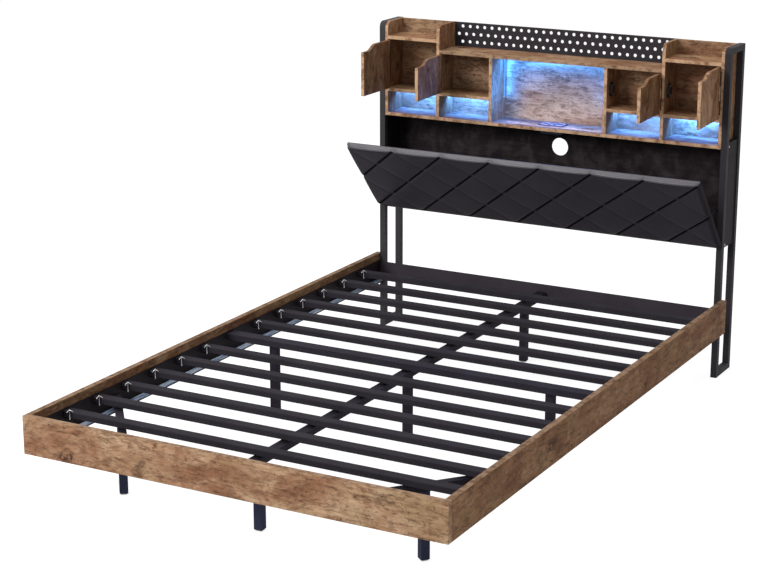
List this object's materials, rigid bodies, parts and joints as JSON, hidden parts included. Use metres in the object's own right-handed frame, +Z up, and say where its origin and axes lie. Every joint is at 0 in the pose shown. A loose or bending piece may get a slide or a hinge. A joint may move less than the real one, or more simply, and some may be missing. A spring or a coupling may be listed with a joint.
{
  "type": "bed with storage headboard",
  "caption": "Slatted platform bed with a steel-framed headboard: lit shelves, small hinged doors, perforated guard, and a quilted panel that tilts down in front of a storage space.",
  "frame": {"origin": "on the floor, under the middle of the bed's overall length and width", "axes": "+X across the bed to the right seen from the foot, +Y from the foot to the headboard, +Z up"},
  "size_m": [1.43, 2.317, 1.198],
  "materials": {
    "rustic_wood": "rustic brown wood-grain foil, satin",
    "black_wood": "black wood-grain foil, matte",
    "black_steel": "black powder coat, satin",
    "hinge_steel": "zinc-plated steel",
    "black_leather": "black faux leather, semi-matte",
    "black_plastic": "moulded black plastic",
    "light_tape": "light blue light strip, lit"
  },
  "bodies": {
    "frame": {"foot_board": "rustic_wood", "side_board_left": "rustic_wood", "side_board_right": "rustic_wood", "side_rail_left": "black_steel", "side_rail_right": "black_steel", "foot_rail": "black_steel", "head_rail": "black_steel", "slat_01": "black_steel", "slat_02": "black_steel", "slat_03": "black_steel", "slat_04": "black_steel", "slat_05": "black_steel", "slat_06": "black_steel", "slat_07": "black_steel", "slat_08": "black_steel", "slat_09": "black_steel", "slat_10": "black_steel", "slat_11": "black_steel", "slat_12": "black_steel", "mid_cross_beam": "black_steel", "centre_beam": "black_steel", "corner_leg_left": "black_steel", "corner_leg_right": "black_steel", "side_frame_left": "black_steel", "side_frame_right": "black_steel", "lower_side_panel_left": "black_wood", "lower_side_panel_right": "black_wood", "upper_side_panel_left": "rustic_wood", "upper_side_panel_right": "rustic_wood", "lower_floor_board": "black_wood", "lower_back_panel": "black_wood", "upper_back_panel": "rustic_wood", "main_shelf": "rustic_wood", "top_board": "rustic_wood", "small_shelf_inner_left": "rustic_wood", "small_shelf_inner_right": "rustic_wood", "small_shelf_outer_left": "rustic_wood", "small_shelf_outer_right": "rustic_wood", "cubby_shelf_left": "rustic_wood", "cubby_shelf_right": "rustic_wood", "tall_divider_left": "rustic_wood", "tall_divider_right": "rustic_wood", "inner_divider_left": "rustic_wood", "inner_divider_right": "rustic_wood", "perforated_guard": "black_steel", "door_hinge_1": "hinge_steel", "door_hinge_2": "hinge_steel", "door_hinge_3": "hinge_steel", "door_hinge_4": "hinge_steel", "panel_hinge": "hinge_steel", "led_strip": "light_tape", "power_outlet": "black_plastic"},
    "door_one": {"door_1": "rustic_wood"},
    "door_two": {"door_2": "rustic_wood"},
    "door_three": {"door_3": "rustic_wood"},
    "door_four": {"door_4": "rustic_wood"},
    "tilt_panel": {"tilt_board": "black_leather", "quilted_cushion": "black_leather", "stay_left": "hinge_steel", "stay_right": "hinge_steel"}
  },
  "joints": [
    {"name": "door_1_hinge", "type": "hinge", "parent": "frame", "child": "door_one", "pos_m": [-0.6619, 1.0107, 1.04], "axis": [0, 0, 1], "range_deg": [-10, 90]},
    {"name": "door_2_hinge", "type": "hinge", "parent": "frame", "child": "door_two", "pos_m": [-0.4432, 1.0107, 1.02], "axis": [0, 0, 1], "range_deg": [-12, 88]},
    {"name": "door_3_hinge", "type": "hinge", "parent": "frame", "child": "door_three", "pos_m": [0.4432, 1.0107, 1.02], "axis": [0, 0, -1], "range_deg": [-8, 92]},
    {"name": "door_4_hinge", "type": "hinge", "parent": "frame", "child": "door_four", "pos_m": [0.6619, 1.0107, 1.04], "axis": [0, 0, -1], "range_deg": [-8, 92]},
    {"name": "panel_tilt", "type": "hinge", "parent": "frame", "child": "tilt_panel", "pos_m": [0, 1.01, 0.5005], "axis": [-1, 0, 0], "range_deg": [0, 42]}
  ]
}
